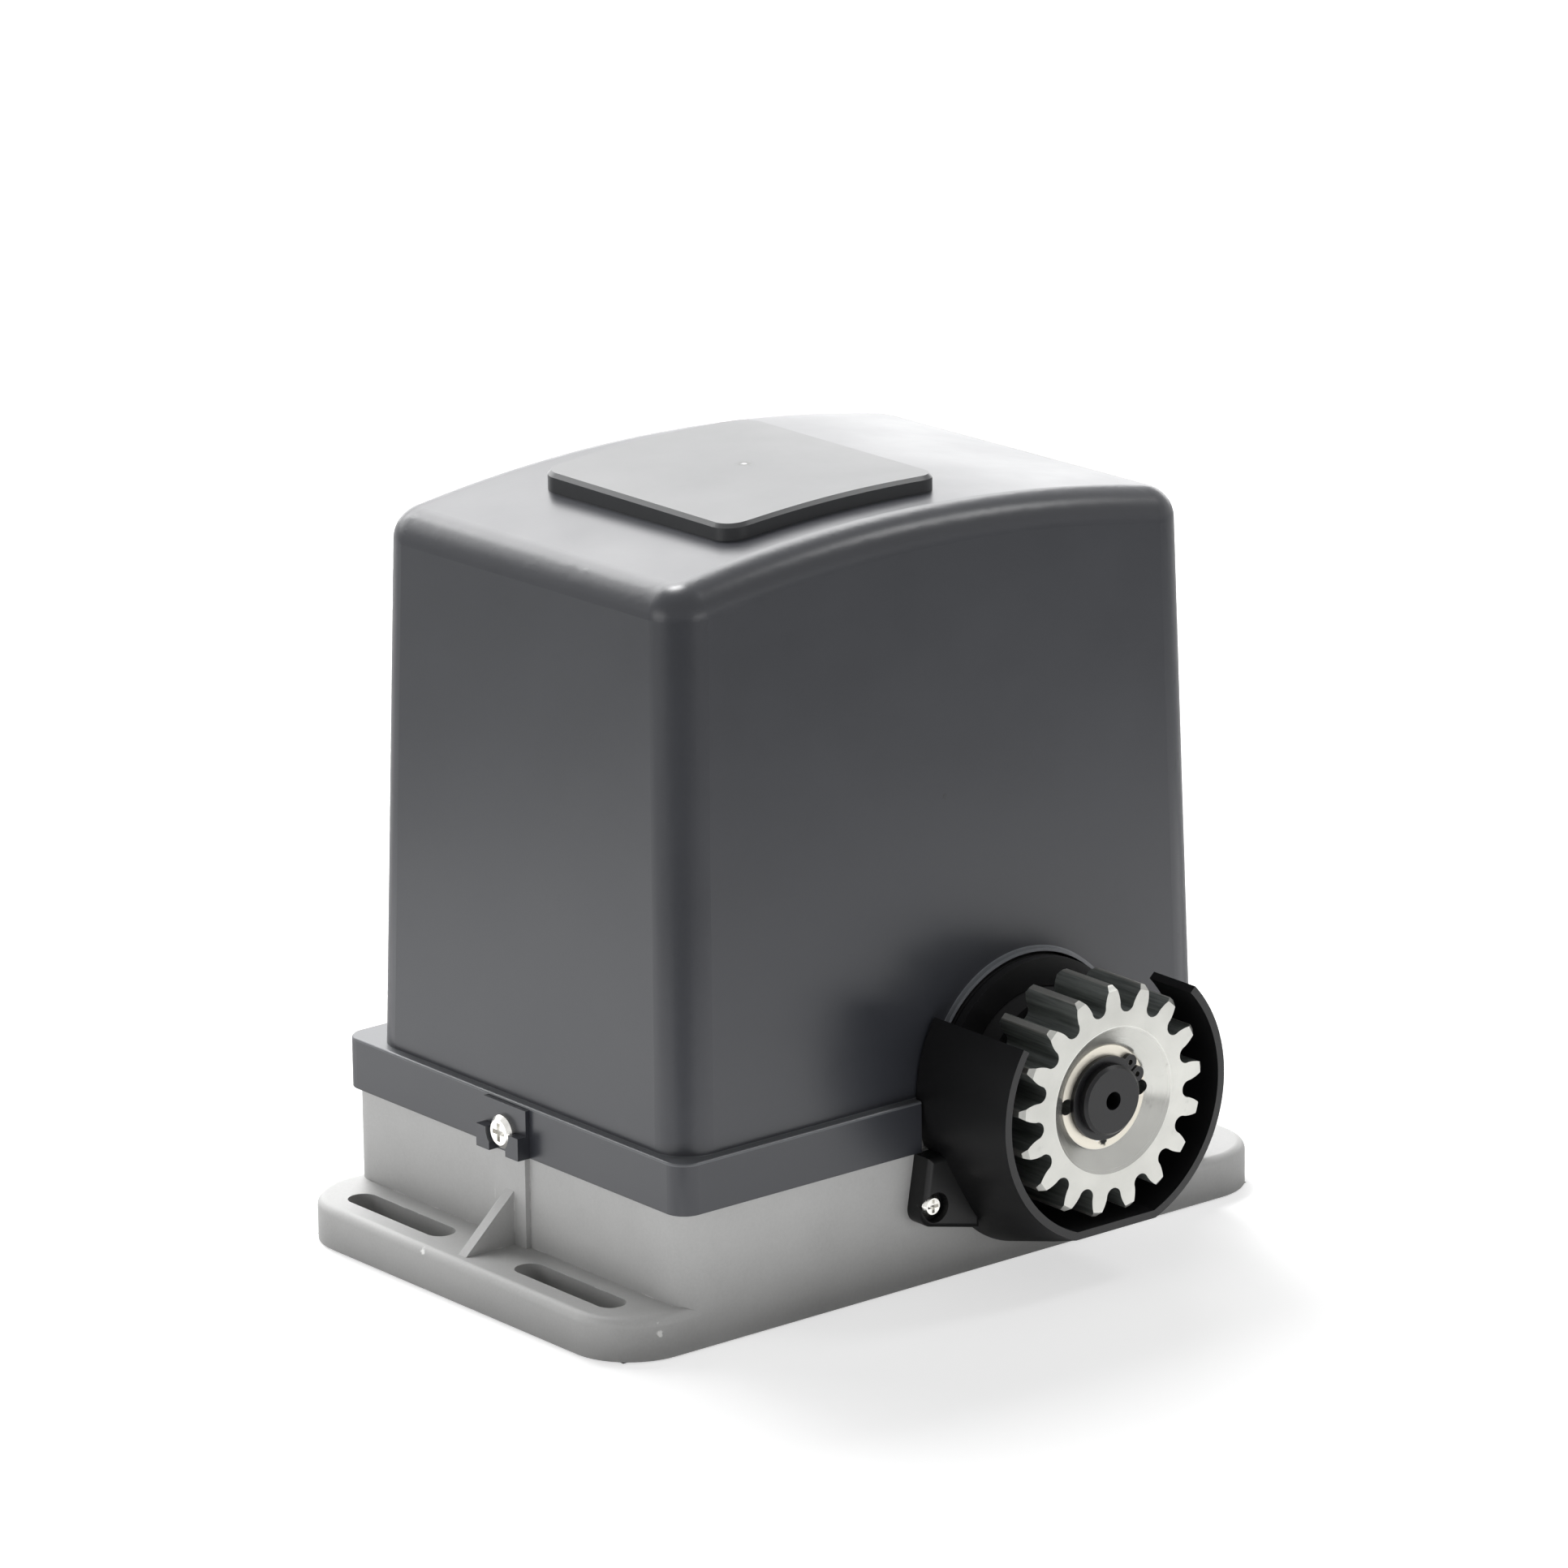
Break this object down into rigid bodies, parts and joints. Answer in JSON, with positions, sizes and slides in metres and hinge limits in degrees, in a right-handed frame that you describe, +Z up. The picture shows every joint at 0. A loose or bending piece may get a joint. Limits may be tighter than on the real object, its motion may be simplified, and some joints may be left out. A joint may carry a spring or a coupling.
{
  "type": "sliding gate motor",
  "caption": "Sliding gate operator with a moulded cover, a slotted cast base, a worm gearbox and a spur pinion that drives a gate rack.",
  "frame": {"origin": "middle of the base's bottom face", "axes": "+Z up, +X along the gate's travel, -Y towards the gate and its rack"},
  "size_m": [0.271, 0.2153, 0.2546],
  "materials": {
    "base_paint": "light grey textured paint on a casting",
    "cover_plastic": "dark grey moulded plastic, fine grain",
    "plate_plastic": "dark grey moulded plastic, smoother",
    "gear_steel": "machined and zinc plated",
    "black_steel": "black oxide",
    "guard_black": "black moulded plastic",
    "zinc_steel": "bright zinc plate",
    "cast_aluminium": "as cast",
    "bronze": "machined",
    "bearing_steel": "ground",
    "seal_rubber": "matt",
    "gasket": "matt",
    "shaft_steel": "ground",
    "laminations": "stacked sheets",
    "copper": "varnished wire",
    "motor_paint": "satin black",
    "lever_plastic": "satin",
    "sheet_metal": "zinc plated sheet",
    "board_green": "solder mask",
    "terminal_green": "satin",
    "relay_black": "satin",
    "fuse_clear": "clear",
    "button_red": "satin",
    "can_white": "gloss"
  },
  "bodies": {
    "base": {"base_housing": "base_paint", "cover": "cover_plastic", "top_plate": "plate_plastic", "cover_screws": "zinc_steel", "pinion_guard": "guard_black", "guard_screws": "zinc_steel", "gearbox_body": "cast_aluminium", "gearbox_gasket": "gasket", "gearbox_cover": "cast_aluminium", "gearbox_screws": "zinc_steel", "foot_screws": "zinc_steel", "oil_seal": "seal_rubber", "front_bearing": "bearing_steel", "rear_bearing": "bearing_steel", "worm_bearing": "bearing_steel", "lower_motor_bearing": "bearing_steel", "upper_motor_bearing": "bearing_steel", "motor_flange": "cast_aluminium", "motor_frame": "motor_paint", "stator_core": "laminations", "stator_windings": "copper", "motor_end_bell": "cast_aluminium", "motor_bolts": "zinc_steel", "board_bracket": "sheet_metal", "bracket_screws": "zinc_steel", "control_board": "board_green", "terminal_blocks": "terminal_green", "board_relays": "relay_black", "fuse_holder": "fuse_clear", "button_switch": "relay_black", "transformer": "laminations", "run_capacitor": "can_white", "capacitor_clip": "sheet_metal", "limit_sensor": "relay_black", "cable_grommet": "seal_rubber"},
    "output": {"output_shaft": "black_steel", "pinion": "gear_steel", "pinion_key": "shaft_steel", "retaining_ring": "black_steel", "spacer_sleeve": "shaft_steel", "worm_wheel": "bronze", "clutch_spring": "shaft_steel"},
    "motor": {"worm_shaft": "shaft_steel", "rotor_core": "laminations"},
    "clutch": {"clutch_sleeve": "shaft_steel", "clutch_key": "shaft_steel"},
    "rod": {"release_rod": "shaft_steel"},
    "lever": {"release_lever": "lever_plastic", "release_cam": "shaft_steel"},
    "lock": {"lock_cylinder": "gear_steel"},
    "button": {"learn_button": "button_red"}
  },
  "joints": [
    {"name": "motor_spin", "type": "hinge", "parent": "base", "child": "motor", "pos_m": [-0.0184, -0.0215, 0.0618], "axis": [0, 0, 1], "continuous": true},
    {"name": "output_spin", "type": "hinge", "parent": "base", "child": "output", "pos_m": [0.0316, -0.0215, 0.0618], "axis": [0, 1, 0], "continuous": true},
    {"name": "release_turn", "type": "hinge", "parent": "base", "child": "lever", "pos_m": [0.0316, 0.064, 0.028], "axis": [0, 0, -1], "range_deg": [0, 90]},
    {"name": "rod_slide", "type": "slide", "parent": "base", "child": "rod", "axis": [0, -1, 0], "range_m": [0, 0.004]},
    {"name": "clutch_slide", "type": "slide", "parent": "output", "child": "clutch", "axis": [0, -1, 0], "range_m": [0, 0.004], "deforming": ["clutch_spring"]},
    {"name": "lock_turn", "type": "hinge", "parent": "lever", "child": "lock", "pos_m": [-0.034, 0.0804, 0.028], "axis": [0, -1, 0], "range_deg": [0, 90]},
    {"name": "learn_press", "type": "slide", "parent": "base", "child": "button", "axis": [0, -1, 0], "range_m": [0, 0.001], "stiffness_N_per_m": 300, "springref_m": -0.001}
  ],
  "couplings": [
    {"joint": "output_spin", "follows": "motor_spin", "ratio": -0.033333},
    {"joint": "rod_slide", "follows": "release_turn", "m_per_rad": 0.0025465},
    {"joint": "clutch_slide", "follows": "release_turn", "m_per_rad": 0.0025465}
  ]
}
